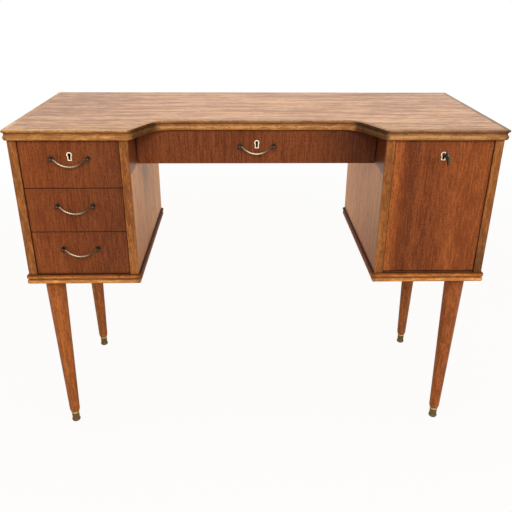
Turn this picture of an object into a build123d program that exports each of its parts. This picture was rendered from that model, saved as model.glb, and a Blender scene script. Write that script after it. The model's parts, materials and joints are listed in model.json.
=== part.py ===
from build123d import *
from math import atan2, cos, radians, sin, tan
import os

# Writing desk: a top with a hollowed front edge on two pedestals and four turned legs.
# Millimetres. The desk faces -Y and stands on the plane Z = 0. The origin is the middle
# of the bounding box on the floor, and the key, which stands out furthest, sets the front.

# Whole desk
desk_width = 1020.0
desk_depth = 433.0
desk_height = 757.0
top_thickness = 21.0
pedestal_width = 241.5
pedestal_height = 302.0
base_height = 20.9
side_overhang = 5.5
front_overhang = 8.3
base_overhang = 5.5

# Hollow in the front of the top, over the kneehole
recess_depth = 89.5
recess_run = 45.0
recess_overhang = 5.0
panel_corner_radius = 1.5
hollow_radius = 45.0

# Mouldings: a cove over a bead round the top, two beads round each base
top_moulding_width = 9.0
top_nose = 4.2
top_cove_height = 4.2
top_neck = 3.4
top_quirk = 1.6
top_bead_setback = 1.2
cove_sag = 1.0
base_moulding_width = 10.0
base_groove = 1.6
base_groove_depth = 3.4
base_lower_setback = 0.9
base_corner_inset = 7.0
base_corner_radius = 7.2
moulding_foot = 0.4

# Carcass boards
side_thickness = 18.0
lipping_depth = 8.0
edge_round = 0.8
back_thickness = 6.0
back_rebate = 8.0
rail_thickness = 16.0
rail_width = 50.0
centre_rail_thickness = 18.0
shelf_thickness = 12.0
shelf_height = 150.0
shelf_housing = 5.0
shelf_setback = 8.0

# Screws that hold the top to the rails
screw_radius = 2.2
screw_head_radius = 4.2
screw_head_height = 3.0
screw_length = 28.0
screw_inset = 45.0

# Drawer fronts and the flap
front_thickness = 18.0
front_recess = 3.0
front_gap = 1.5
front_side_gap = 1.2
upper_front_height = 100.5
middle_front_height = 97.0
centre_front_height = 73.5

# Drawer boxes
box_side = 10.0
box_back = 10.0
box_bottom = 4.0
box_groove = 5.0
box_lift = 6.0
box_drop = 18.0
bottom_lift = 5.0
back_inset = 12.0
back_drop = 6.0
pedestal_back_gap = 15.7
centre_back_gap = 17.2
tail_depth = 11.0
tail_slope = 6.0
tail_share = 0.28
pedestal_tails = 3
centre_tails = 2

# Runners in the grooves of the drawer sides
runner_height = 8.0
runner_depth = 5.0
runner_stop = 14.0
runner_end_gap = 2.0
slide_clearance = 0.3

# Flap pivots
pivot_offset = 4.2
pivot_radius = 2.0
pivot_in_side = 8.0
pivot_in_flap = 9.0

# Fits
running_clearance = 0.06
glued_clearance = 0.05
stop_clearance = 0.3

# Locks
lock_width = 50.0
lock_depth = 9.0
lock_wall = 1.2
lock_head = 2.0
lock_below_axis = 15.0
pedestal_backset = 29.9
centre_backset = 27.0
bolt_width = 18.0
bolt_thickness = 3.2
bolt_height = 17.0
bolt_travel = 6.5
bolt_clearance = 0.3
mortise_play = 1.5
drill_pin_radius = 1.25
drill_pin_length = 5.5

# Escutcheons and keyholes: a round head over a slot that widens downwards
escutcheon_radius = 5.5
escutcheon_neck = 4.0
escutcheon_foot = 4.3
escutcheon_drop = 12.4
escutcheon_depth = 2.2
escutcheon_proud = 0.3
keyhole_radius = 3.2
keyhole_neck = 1.9
keyhole_foot = 2.1
keyhole_drop = 10.5

# Key
key_reach = 34.0
key_radius = 2.6
key_bit_radius = 9.5
key_bit_thickness = 2.4
key_bit_margin = 0.6
key_bow_radius = 7.8
key_bow_rise = 3.2
key_bow_tail_radius = 3.2
key_bow_tail_drop = 13.6
key_bow_hole_radius = 3.6
key_bow_thickness = 2.8
key_bow_turn = 12.0
key_collar_radius = 3.8
key_collar_length = 3.0

# Bail handles
handle_span = 75.0
handle_drop = 38.0
centre_handle_drop = 34.8
post_reach = 9.0
post_head_radius = 4.1
post_neck_radius = 2.6
post_collar_radius = 4.8
post_collar_height = 1.4
post_stem_radius = 2.0
nut_radius = 4.4
nut_height = 3.0
stem_past_nut = 1.0
bail_radius = 1.8
bail_pin_radius = 1.3
bail_sag = 15.4
bail_slope = 47.0
bail_end_radius = 3.0
bail_side_gap = 0.5
bail_knob_radius = 2.0
bail_knob_length = 1.2

# Legs
leg_side_inset = 43.5
leg_front_inset = 37.0
leg_back_inset = 37.0
leg_top_radius = 22.2
leg_foot_radius = 12.3
leg_shoulder_height = 11.5
leg_shoulder_round = 24.0
ferrule_height = 27.0
ferrule_radius = 9.3
ferrule_waist_radius = 8.9
ferrule_lip = 0.6
ferrule_lip_height = 2.2
ferrule_flare_radius = 10.3
ferrule_flare_height = 4.5
ferrule_flare_rise = 3.5
ferrule_sole_radius = 8.8
ferrule_wall = 1.1
ferrule_sole = 2.5
leg_bolt_radius = 4.0
leg_bolt_in_leg = 30.0
leg_bolt_in_base = 19.0

# Places worked out from the dimensions above
front_reach = key_reach - front_recess - front_overhang
tip_y = (front_reach - desk_depth) / 2
back_y = tip_y + desk_depth
stile_y = tip_y + front_overhang
face_y = stile_y + front_recess
inner_y = face_y + front_thickness
panel_y = back_y - back_thickness
centre_face_y = tip_y + recess_depth + front_overhang
centre_inner_y = centre_face_y + front_thickness
centre_rail_y = back_y - centre_rail_thickness
pedestal_box_depth = panel_y - pedestal_back_gap - face_y
centre_box_depth = centre_rail_y - centre_back_gap - centre_face_y
under_z = desk_height - top_thickness
base_z = under_z - pedestal_height
leg_z = base_z - base_height
front_top_z = under_z - front_gap
upper_floor_z = front_top_z - upper_front_height
middle_top_z = upper_floor_z - front_gap
middle_floor_z = middle_top_z - middle_front_height
lower_top_z = middle_floor_z - front_gap
lower_floor_z = base_z + front_gap
centre_floor_z = front_top_z - centre_front_height
outer_x = desk_width / 2 - side_overhang
inner_x = outer_x - pedestal_width
bay_outer_x = outer_x - side_thickness
bay_inner_x = inner_x + side_thickness
bay_middle_x = (bay_outer_x + bay_inner_x) / 2
front_outer_x = bay_outer_x - front_side_gap
front_inner_x = bay_inner_x + front_side_gap
centre_half_x = inner_x - front_side_gap
leg_x = outer_x - leg_side_inset
leg_front_y = stile_y + leg_front_inset
leg_rear_y = back_y - leg_back_inset
flap_floor_z = base_z + front_gap
pivot_y = face_y + pivot_offset
pivot_z = flap_floor_z + pivot_offset
shelf_top_z = base_z + shelf_height

os.makedirs("parts", exist_ok=True)


def save(name, *solids):
    """Write the solids of one node."""
    node = solids[0] if len(solids) == 1 else Compound(children=list(solids))
    export_step(node, f"parts/{name}.step")


def board(xs, ys, zs):
    """A square-edged board between two places on each axis, given in either order."""
    low = [min(pair) for pair in (xs, ys, zs)]
    size = [max(pair) - min(pair) for pair in (xs, ys, zs)]
    return Pos(*low) * Box(*size, align=(Align.MIN, Align.MIN, Align.MIN))


def rod_x(xs, y, z, radius):
    """A round bar along X."""
    return Pos(sum(xs) / 2, y, z) * Rot(0, 90, 0) * Cylinder(radius, abs(xs[1] - xs[0]))


def rod_y(x, ys, z, radius):
    """A round bar along Y."""
    return Pos(x, sum(ys) / 2, z) * Rot(90, 0, 0) * Cylinder(radius, abs(ys[1] - ys[0]))


def rod_z(x, y, zs, radius):
    """A round bar along Z."""
    return Pos(x, y, sum(zs) / 2) * Cylinder(radius, abs(zs[1] - zs[0]))


def keyhole(x, ys, z, radius, neck, foot, drop):
    """A keyhole-shaped plug: a round head, and a slot below it that widens to its foot."""
    slot = make_face(Polyline((-neck, 0), (-foot, -drop), (foot, -drop), (neck, 0), close=True))
    outline = Pos(x, z) * (Circle(radius) + slot)
    return extrude(Plane.XZ.offset(-max(ys)) * outline, amount=abs(ys[1] - ys[0]))


def round_front(solid, radius):
    """Ease the edges of a front's outer face."""
    return fillet(solid.faces().sort_by(Axis.Y)[0].edges(), radius)


def moulding_plane(place, outward):
    """A section plane whose first axis points outwards and whose second points down."""
    away = Vector(*outward)
    return Plane(place, x_dir=away, z_dir=Vector(0, 0, 1).cross(away))


def mitre(solid, corner, keep):
    """Cut a length of moulding at a corner and keep the side that the direction points to."""
    return split(solid, bisect_by=Plane(corner, z_dir=keep), keep=Keep.TOP)


def top_section():
    """Section of the top's moulding: a nose, a cove down to a neck, a quirk and a bead."""
    width = top_moulding_width
    neck = width - top_neck
    cove_end = top_nose + top_cove_height
    bead_start = cove_end + top_quirk
    bead_end = top_thickness - moulding_foot
    slant = atan2(top_cove_height, top_neck)
    middle_u = (width + neck) / 2 - cove_sag * sin(slant)
    middle_w = (top_nose + cove_end) / 2 - cove_sag * cos(slant)
    bead_u = width - top_bead_setback
    edge = [
        Polyline((neck, top_thickness), (0, top_thickness), (0, 0), (width, 0), (width, top_nose)),
        ThreePointArc((width, top_nose), (middle_u, middle_w), (neck, cove_end)),
        Line((neck, cove_end), (neck, bead_start)),
        ThreePointArc((neck, bead_start), (bead_u, (bead_start + bead_end) / 2), (neck, bead_end)),
        Line((neck, bead_end), (neck, top_thickness)),
    ]
    return make_face(edge)


def base_section():
    """Section of a base moulding: a ledge, two beads and the groove between them."""
    width = base_moulding_width
    neck = width - base_groove_depth
    bead = (base_height - base_groove - moulding_foot) / 2
    lower_start = bead + base_groove
    lower_end = lower_start + bead
    lower_u = width - base_lower_setback
    edge = [
        Polyline((neck, base_height), (0, base_height), (0, 0), (neck, 0)),
        ThreePointArc((neck, 0), (width, bead / 2), (neck, bead)),
        Line((neck, bead), (neck, lower_start)),
        ThreePointArc((neck, lower_start), (lower_u, lower_start + bead / 2), (neck, lower_end)),
        Line((neck, lower_end), (neck, base_height)),
    ]
    return make_face(edge)


def top_edge_points(end_x):
    """Corners of the top's front edge, one moulding width behind its tips."""
    inset = top_moulding_width
    shift = inset * tan(atan2(recess_depth, recess_run) / 2)
    outer = inner_x - recess_overhang + shift
    hollow = outer - recess_run
    near = tip_y + inset
    far = near + recess_depth
    left = [(-end_x, near), (-outer, near), (-hollow, far)]
    return left + [(-x, y) for x, y in reversed(left)]


def top_edge_line(end_x):
    """The top's front edge with its rounded corners."""
    tight = panel_corner_radius
    wide = hollow_radius + top_moulding_width
    return FilletPolyline(*top_edge_points(end_x), radius=[tight, wide, wide, tight])


def lock_places():
    """Middle, inner face and backset of each lock."""
    return {
        "upper_drawer": (-bay_middle_x, inner_y, pedestal_backset),
        "centre_drawer": (0.0, centre_inner_y, centre_backset),
        "flap": (bay_middle_x, inner_y, pedestal_backset),
    }


def bolt_ys(y):
    """Front and back of a lock's bolt, in the back of its case."""
    back = y - lock_wall - bolt_clearance
    return back - bolt_thickness, back


def strike_mortise(x, y):
    """Mortise in the underside of the top that takes a lock's bolt."""
    near, far = bolt_ys(y)
    half = bolt_width / 2 + mortise_play
    height = bolt_travel - front_gap + mortise_play
    ys = (near - mortise_play, far + mortise_play)
    return board((x - half, x + half), ys, (under_z, under_z + height))


def rail_rows():
    """Front and back of the two rails under the top in each pedestal."""
    front = inner_y + stop_clearance
    return [(front, front + rail_width), (panel_y - rail_width, panel_y)]


def screw_places(hand):
    """Places of the screws that hold one pedestal's rails to the top."""
    xs = [hand * (bay_inner_x + screw_inset), hand * (bay_outer_x - screw_inset)]
    return [(x, sum(row) / 2) for row in rail_rows() for x in xs]


def screw(x, y, grow=0.0):
    """A countersunk screw, driven upwards through a rail into the top."""
    low = under_z - rail_thickness
    shank = rod_z(x, y, (low, low + screw_length + grow), screw_radius + grow)
    bevel = Cone(screw_head_radius + grow, screw_radius + grow, screw_head_height)
    return shank + Pos(x, y, low + screw_head_height / 2) * bevel


def make_top():
    """The top panel, with its bolt mortises, and the mitred moulding on three of its edges."""
    edge_x = desk_width / 2 - top_moulding_width
    front = top_edge_line(edge_x)
    near = tip_y + top_moulding_width
    rest = Polyline((edge_x, near), (edge_x, back_y), (-edge_x, back_y), (-edge_x, near))
    panel = extrude(Pos(0, 0, under_z) * make_face(front + rest), amount=top_thickness)
    for x, y, _ in lock_places().values():
        panel -= strike_mortise(x, y)
    for hand in (-1, 1):
        for x, y in screw_places(hand):
            panel -= screw(x, y, glued_clearance)
    save("top_panel", panel)

    path = Pos(0, 0, desk_height) * top_edge_line(desk_width / 2)
    start = Vector(-desk_width / 2, near, desk_height)
    run = sweep(moulding_plane(start, (0, -1, 0)) * top_section(), path=path)
    runs = []
    for hand in (-1, 1):
        corner = Vector(hand * desk_width / 2, tip_y, desk_height)
        run = mitre(run, corner, (-hand, -1, 0))
        begin = Vector(hand * edge_x, tip_y if hand > 0 else back_y, desk_height)
        section = moulding_plane(begin, (hand, 0, 0)) * top_section()
        side = extrude(section, amount=desk_depth)
        runs.append(mitre(side, corner, (hand, 1, 0)))
    save("top_moulding", run, *runs)


def side_board(hand, near_x, far_x):
    """A pedestal side behind its lipping, rebated for the back. near_x faces the bay."""
    solid = board((hand * near_x, hand * far_x), (stile_y + lipping_depth, back_y), (base_z, under_z))
    step = back_rebate if far_x > near_x else -back_rebate
    return solid - board((hand * near_x, hand * (near_x + step)), (panel_y, back_y), (base_z, under_z))


def lipping(hand, near_x, far_x):
    """The solid edge on the front of a pedestal side."""
    solid = board((hand * near_x, hand * far_x), (stile_y, stile_y + lipping_depth), (base_z, under_z))
    return fillet(solid.edges().filter_by(Axis.Z).group_by(Axis.Y)[0], edge_round)


def shelf_slot(xs):
    """The space of the shelf, between two places across the desk."""
    ys = (inner_y + shelf_setback, panel_y)
    return board(xs, ys, (shelf_top_z - shelf_thickness, shelf_top_z))


def pivot_span(bay_x, hand):
    """Ends of a pivot pin that is let into the side at bay_x, and reaches into the flap."""
    return bay_x + hand * pivot_in_side, bay_x - hand * pivot_in_flap


def make_sides():
    """The four pedestal sides and the lippings on their front edges."""
    lippings = []
    for hand, name in ((-1, "left"), (1, "right")):
        for place, bay_x, face_x in (("outer", bay_outer_x, outer_x), ("inner", bay_inner_x, inner_x)):
            side = side_board(hand, bay_x, face_x)
            edge = lipping(hand, bay_x, face_x)
            if name == "right":
                side -= shelf_slot((bay_inner_x - shelf_housing, bay_outer_x + shelf_housing))
                hole_xs = pivot_span(bay_x, 1 if place == "outer" else -1)
                hole = rod_x(hole_xs, pivot_y, pivot_z, pivot_radius + glued_clearance)
                side -= hole
                edge -= hole
            save(f"{name}_{place}_side", side)
            lippings.append(edge)
    save("stile_lippings", *lippings)


def make_backs():
    """The back panel of each pedestal, and the rail that ties the pedestals together."""
    for hand, name in ((-1, "left"), (1, "right")):
        xs = (hand * (bay_inner_x - back_rebate), hand * (bay_outer_x + back_rebate))
        save(f"{name}_back_panel", board(xs, (panel_y, back_y), (base_z, under_z)))
    save("centre_back_rail", board((-inner_x, inner_x), (centre_rail_y, back_y), (centre_floor_z, under_z)))


def base_corner(corner, side):
    """The waste outside the rounded corner of a base. side is 1 at its right end."""
    x = corner.X - side * base_corner_inset
    y = corner.Y + base_corner_inset
    block = board((corner.X, x), (corner.Y, y), (leg_z, base_z))
    return block - rod_z(x, y, (leg_z, base_z), base_corner_radius)


def make_bases():
    """The board under each pedestal, and the mitred moulding on three of its edges."""
    mouldings = []
    inset = base_moulding_width - base_overhang
    front = stile_y - base_overhang
    for hand, name in ((-1, "left"), (1, "right")):
        low_x = min(hand * inner_x, hand * outer_x)
        high_x = max(hand * inner_x, hand * outer_x)
        panel = board((low_x + inset, high_x - inset), (stile_y + inset, back_y), (leg_z, base_z))
        for y in (leg_front_y, leg_rear_y):
            hole = leg_bolt_radius + glued_clearance
            panel -= rod_z(hand * leg_x, y, (leg_z, leg_z + leg_bolt_in_base), hole)
        save(f"{name}_base_board", panel)

        begin = Vector(low_x - base_overhang, stile_y + inset, base_z)
        length = high_x - low_x + 2 * base_overhang
        run = extrude(moulding_plane(begin, (0, -1, 0)) * base_section(), amount=length)
        for side, x in ((-1, low_x), (1, high_x)):
            corner = Vector(x + side * base_overhang, front, base_z)
            waste = base_corner(corner, side)
            run = mitre(run, corner, (-side, -1, 0)) - waste
            begin = Vector(x - side * inset, front if side > 0 else back_y, base_z)
            section = moulding_plane(begin, (side, 0, 0)) * base_section()
            length = back_y - front
            mouldings.append(mitre(extrude(section, amount=length), corner, (side, 1, 0)) - waste)
        mouldings.append(run)
    save("base_mouldings", *mouldings)


def make_rails():
    """The rails under the top, the screws through them, and the shelf in the right pedestal."""
    rails = []
    screws = []
    for hand in (-1, 1):
        places = screw_places(hand)
        for ys in rail_rows():
            zs = (under_z - rail_thickness, under_z)
            rail = board((hand * bay_inner_x, hand * bay_outer_x), ys, zs)
            for x, y in places:
                rail -= screw(x, y, glued_clearance)
            rails.append(rail)
        screws += [screw(x, y) for x, y in places]
    save("top_rails", *rails)
    save("top_screws", *screws)
    save("right_shelf", shelf_slot((bay_inner_x - shelf_housing, bay_outer_x + shelf_housing)))


def leg(x, y):
    """A turned leg, tapered to a round shoulder and a spigot inside the ferrule."""
    spigot = ferrule_waist_radius - ferrule_wall - glued_clearance
    ankle = (ferrule_radius, ferrule_height)
    shoulder = (leg_foot_radius, ferrule_height + leg_shoulder_height)
    edge = [
        Polyline(ankle, (spigot, ferrule_height), (spigot, ferrule_sole), (0, ferrule_sole), (0, leg_z)),
        Polyline((0, leg_z), (leg_top_radius, leg_z), shoulder),
        RadiusArc(shoulder, ankle, leg_shoulder_round),
    ]
    solid = revolve(Plane.XZ * make_face(edge), axis=Axis.Z)
    hole = leg_bolt_radius + glued_clearance
    return Pos(x, y, 0) * (solid - rod_z(0, 0, (leg_z - leg_bolt_in_leg, leg_z), hole))


def ferrule(x, y):
    """A brass cup on a leg's foot, with a lip at its mouth and a flared sole."""
    bore = ferrule_waist_radius - ferrule_wall
    lip_r = ferrule_radius + ferrule_lip
    lip_z = ferrule_height - ferrule_lip_height
    flare = (ferrule_flare_radius, ferrule_flare_height)
    flare_top = ferrule_flare_height + ferrule_flare_rise
    mouth = (ferrule_radius, ferrule_height)
    edge = [
        Polyline((0, 0), (ferrule_sole_radius, 0)),
        RadiusArc((ferrule_sole_radius, 0), flare, -ferrule_flare_height),
        Polyline(flare, (ferrule_waist_radius, flare_top), (ferrule_radius, lip_z)),
        ThreePointArc((ferrule_radius, lip_z), (lip_r, (lip_z + ferrule_height) / 2), mouth),
        Polyline(mouth, (bore, ferrule_height), (bore, ferrule_sole)),
        Polyline((bore, ferrule_sole), (0, ferrule_sole), (0, 0)),
    ]
    return Pos(x, y, 0) * revolve(Plane.XZ * make_face(edge), axis=Axis.Z)


def make_legs():
    """Four legs with their ferrules, each screwed into a base board by a threaded stud."""
    ferrules = []
    studs = []
    for row, y in (("front", leg_front_y), ("rear", leg_rear_y)):
        for hand, name in ((-1, "left"), (1, "right")):
            x = hand * leg_x
            save(f"{row}_{name}_leg", leg(x, y))
            ferrules.append(ferrule(x, y))
            zs = (leg_z - leg_bolt_in_leg, leg_z + leg_bolt_in_base)
            studs.append(rod_z(x, y, zs, leg_bolt_radius))
    save("leg_ferrules", *ferrules)
    save("leg_studs", *studs)


def box_levels(floor_z, top_z):
    """Lower and upper edges of a drawer's sides, from those of its front."""
    return floor_z + box_lift, top_z - box_drop


def runner_level(floor_z, top_z):
    """Middle height of a drawer's runners."""
    return sum(box_levels(floor_z, top_z)) / 2


def make_runners():
    """A pair of wooden runners for each drawer, fixed to the pedestal sides."""
    pedestal_levels = [
        (upper_floor_z, front_top_z),
        (middle_floor_z, middle_top_z),
        (lower_floor_z, lower_top_z),
    ]
    reach = front_side_gap + runner_depth
    half = runner_height / 2
    runners = []
    for levels in pedestal_levels:
        z = runner_level(*levels)
        ys = (inner_y + runner_stop, panel_y - runner_end_gap)
        for x, hand in ((-bay_outer_x, 1), (-bay_inner_x, -1)):
            runners.append(board((x, x + hand * reach), ys, (z - half, z + half)))
    z = runner_level(centre_floor_z, front_top_z)
    ys = (centre_inner_y + runner_stop, centre_rail_y - runner_end_gap)
    for x, hand in ((-inner_x, 1), (inner_x, -1)):
        runners.append(board((x, x + hand * reach), ys, (z - half, z + half)))
    save("drawer_runners", *runners)


def tails(xs, y, zs, count):
    """Dovetails on the front end of a drawer side, which narrow towards the side."""
    pitch = (zs[1] - zs[0]) / count
    root = pitch * tail_share
    tip = root + tail_depth / tail_slope
    solids = []
    for index in range(count):
        z = zs[0] + (index + 0.5) * pitch
        corners = [(y, z - root), (y - tail_depth, z - tip), (y - tail_depth, z + tip), (y, z + root)]
        shape = make_face(Polyline(*corners, close=True))
        solids.append(extrude(Plane.YZ.offset(min(xs)) * shape, amount=abs(xs[1] - xs[0])))
    return solids


def escutcheon_plug(x, face, z, grow=0.0):
    """The outline of an escutcheon, from its seat in the front to its proud face."""
    sizes = (escutcheon_radius + grow, escutcheon_neck + grow, escutcheon_foot + grow)
    return keyhole(x, (face - escutcheon_proud, face + escutcheon_depth), z, *sizes, escutcheon_drop + grow)


def keyhole_cut(x, ys, z):
    """The way through for a key."""
    return keyhole(x, ys, z, keyhole_radius, keyhole_neck, keyhole_foot, keyhole_drop)


def lock_block(x, y, top_z, backset, grow=0.0):
    """The outside of a lock case, let into the inner face and upper edge of a front."""
    half = lock_width / 2 + grow
    floor = top_z - backset - lock_below_axis - grow
    return board((x - half, x + half), (y - lock_depth - grow, y), (floor, top_z))


def make_lock(name, x, y, top_z, backset):
    """The case, bolt and escutcheon of a lock. y is the inner face that it is let into."""
    face = y - front_thickness
    axis_z = top_z - backset
    half = lock_width / 2 - lock_wall
    floor = axis_z - lock_below_axis + lock_wall
    ceiling = top_z - lock_head
    front_wall = y - lock_depth
    hollow = board((x - half, x + half), (front_wall + lock_wall, y - lock_wall), (floor, ceiling))
    near, far = bolt_ys(y)
    bolt_half = bolt_width / 2
    slot_half = bolt_half + bolt_clearance
    slot_ys = (near - bolt_clearance, far + bolt_clearance)
    slot = board((x - slot_half, x + slot_half), slot_ys, (ceiling, top_z))
    case = lock_block(x, y, top_z, backset) - hollow - slot
    case -= keyhole_cut(x, (front_wall, front_wall + lock_wall), axis_z)
    case += rod_y(x, (y - lock_wall - drill_pin_length, y - lock_wall), axis_z, drill_pin_radius)
    save(f"{name}_lock_case", case)

    bolt_top = top_z - bolt_clearance
    bolt = board((x - bolt_half, x + bolt_half), (near, far), (bolt_top - bolt_height, bolt_top))
    save(f"{name}_lock_bolt", bolt)

    plate = escutcheon_plug(x, face, axis_z)
    plate -= keyhole_cut(x, (face - escutcheon_proud, face + escutcheon_depth), axis_z)
    save(f"{name}_escutcheon", plate)


def cut_for_lock(front, x, y, top_z, backset):
    """Let a lock case, an escutcheon and a keyhole into a front."""
    face = y - front_thickness
    axis_z = top_z - backset
    front -= lock_block(x, y, top_z, backset, glued_clearance)
    front -= escutcheon_plug(x, face, axis_z, glued_clearance)
    return front - keyhole_cut(x, (face, y), axis_z)


def post(x, face, z):
    """A turned handle post: a ball head, a neck, a collar, and a stem through the front."""
    crown = (0, -post_reach - post_head_radius)
    throat = (post_neck_radius, (post_head_radius**2 - post_neck_radius**2) ** 0.5 - post_reach)
    collar = (post_neck_radius, -post_collar_height)
    seat = (post_stem_radius, 0)
    stem_end = front_thickness + nut_height + stem_past_nut
    edge = [
        ThreePointArc(crown, (post_head_radius, -post_reach), throat),
        Polyline(throat, collar, (post_collar_radius, -post_collar_height), (post_collar_radius, 0), seat),
        Polyline(seat, (post_stem_radius, stem_end), (0, stem_end), crown),
    ]
    solid = Pos(x, face, z) * revolve(make_face(edge), axis=Axis.Y)
    eye = (x - 2 * post_head_radius, x + 2 * post_head_radius)
    return solid - rod_x(eye, face - post_reach, z, bail_pin_radius + running_clearance)


def nut(x, inner, z):
    """The nut that holds a post from inside the drawer."""
    outline = Pos(x, z) * RegularPolygon(nut_radius, 6)
    solid = extrude(Plane.XZ.offset(-inner - nut_height) * outline, amount=nut_height)
    return solid - rod_y(x, (inner, inner + nut_height), z, post_stem_radius + glued_clearance)


def bail(x, face, z):
    """A drop handle: a bow that dips between two pins, which turn in the posts' heads."""
    end = handle_span / 2 - post_head_radius - bail_side_gap
    slope = radians(bail_slope)
    across = end - bail_end_radius * sin(slope)
    down = bail_sag - bail_end_radius * (1 - cos(slope))
    straight = (down - across * tan(slope / 2)) / (sin(slope) - cos(slope) * tan(slope / 2))
    middle_radius = (across - straight * cos(slope)) / sin(slope)
    first = JernArc((-end, 0), (1, 0), bail_end_radius, -bail_slope)
    fall = PolarLine(first @ 1, straight, -bail_slope)
    dip = JernArc(fall @ 1, fall % 1, middle_radius, 2 * bail_slope)
    rise = PolarLine(dip @ 1, straight, bail_slope)
    last = JernArc(rise @ 1, rise % 1, bail_end_radius, -bail_slope)
    place = Plane((x, face - post_reach, z), x_dir=(1, 0, 0), z_dir=(0, -1, 0))
    path = place * (first + fall + dip + rise + last)
    solid = sweep(Plane(path @ 0, z_dir=path % 0) * Circle(bail_radius), path=path)
    knob_start = handle_span / 2 + post_head_radius + bail_side_gap
    knob_end = knob_start + bail_knob_length
    for hand in (-1, 1):
        solid += rod_x((x + hand * end, x + hand * knob_end), face - post_reach, z, bail_pin_radius)
        solid += rod_x((x + hand * knob_start, x + hand * knob_end), face - post_reach, z, bail_knob_radius)
    return solid


def make_handle(name, x, face, z):
    """Two posts with their nuts, and the bail between them."""
    inner = face + front_thickness
    xs = [x - handle_span / 2, x + handle_span / 2]
    posts = [post(place, face, z) for place in xs]
    nuts = [nut(place, inner, z) for place in xs]
    save(f"{name}_handle_posts", *posts, *nuts)
    save(f"{name}_bail", bail(x, face, z))


def make_drawer(name, xs, face, zs, depth, tail_count, drop):
    """A drawer: a front dovetailed to two sides, a back, and a bottom in grooves."""
    left, right = xs
    floor_z, top_z = zs
    inner = face + front_thickness
    end = face + depth
    low, high = box_levels(*zs)
    middle = (left + right) / 2
    bottom_z = low + bottom_lift
    z = top_z - drop
    bottom_xs = (left + box_side - box_groove, right - box_side + box_groove)
    bottom = board(bottom_xs, (inner - box_groove, end), (bottom_z, bottom_z + box_bottom))
    groove_z = runner_level(*zs)
    groove_half = runner_height / 2 + slide_clearance
    groove_depth = runner_depth + slide_clearance
    groove_ys = (inner + runner_stop - slide_clearance, end)
    front = round_front(board(xs, (face, inner), zs), edge_round)
    sides = []
    for outside, hand in ((left, 1), (right, -1)):
        side_xs = (outside, outside + hand * box_side)
        side = board(side_xs, (inner, end), (low, high))
        for tail in tails(side_xs, inner, (low, high), tail_count):
            side += tail
            front -= tail
        groove_xs = (outside, outside + hand * groove_depth)
        side -= board(groove_xs, groove_ys, (groove_z - groove_half, groove_z + groove_half))
        sides.append(side - bottom)
    front -= bottom
    for x in (middle - handle_span / 2, middle + handle_span / 2):
        front -= rod_y(x, (face, inner), z, post_stem_radius + glued_clearance)
    if name in lock_places():
        x, y, backset = lock_places()[name]
        front = cut_for_lock(front, x, y, top_z, backset)
        make_lock(name, x, y, top_z, backset)
    back_ys = (end - back_inset - box_back, end - back_inset)
    back_xs = (left + box_side, right - box_side)
    save(f"{name}_front", front)
    save(f"{name}_sides", *sides)
    save(f"{name}_back", board(back_xs, back_ys, (bottom_z + box_bottom, high - back_drop)))
    save(f"{name}_bottom", bottom)
    make_handle(name, middle, face, z)


def make_drawers():
    """Three drawers in the left pedestal and one over the kneehole."""
    pedestal_xs = (-front_outer_x, -front_inner_x)
    rows = {
        "upper_drawer": (upper_floor_z, front_top_z),
        "middle_drawer": (middle_floor_z, middle_top_z),
        "lower_drawer": (lower_floor_z, lower_top_z),
    }
    for name, zs in rows.items():
        make_drawer(name, pedestal_xs, face_y, zs, pedestal_box_depth, pedestal_tails, handle_drop)
    xs = (-centre_half_x, centre_half_x)
    zs = (centre_floor_z, front_top_z)
    make_drawer("centre_drawer", xs, centre_face_y, zs, centre_box_depth, centre_tails, centre_handle_drop)


def key(x, y, z):
    """A barrel key in its lock: a bit inside the case, a hollow shank, a collar and a pear-shaped bow."""
    face = y - front_thickness
    tip = y - lock_wall - bolt_clearance
    bow_y = face - key_reach + key_bow_radius
    head = Pos(0, key_bow_rise)
    tail = Pos(0, -key_bow_tail_drop)
    rounds = head * Circle(key_bow_radius) + tail * Circle(key_bow_tail_radius)
    pear = make_hull(rounds.edges()) - head * Circle(key_bow_hole_radius)
    plate = extrude(Plane.YZ.offset(-key_bow_thickness / 2) * pear, amount=key_bow_thickness)
    bow = Pos(x, bow_y, z) * Rot(0, -key_bow_turn, 0) * plate
    bow_end = bow_y + key_bow_radius
    solid = bow + rod_y(x, (bow_end - key_radius, tip), z, key_radius)
    collar_end = bow_end + key_collar_length
    solid += rod_y(x, (bow_end, collar_end), z, key_collar_radius)
    bit_half = key_bit_thickness / 2
    bit_ys = (y - lock_depth + lock_wall + key_bit_margin, tip - key_bit_margin)
    solid += board((x - bit_half, x + bit_half), bit_ys, (z - key_bit_radius, z))
    bore_end = y - lock_wall - drill_pin_length - key_bit_margin
    return solid - rod_y(x, (bore_end, tip), z, drill_pin_radius + running_clearance)


def flap_board():
    """The flap's board. Its lower front edge is rounded about the pivots, so that it can turn."""
    xs = (front_inner_x, front_outer_x)
    solid = board(xs, (face_y, inner_y), (flap_floor_z, front_top_z))
    level_edges = solid.faces().sort_by(Axis.Y)[0].edges().filter_by(Axis.X).sort_by(Axis.Z)
    solid = fillet(level_edges[0], pivot_offset)
    level_edges = solid.faces().sort_by(Axis.Y)[0].edges().filter_by(Axis.X).sort_by(Axis.Z)
    return fillet(level_edges[-1], edge_round)


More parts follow.
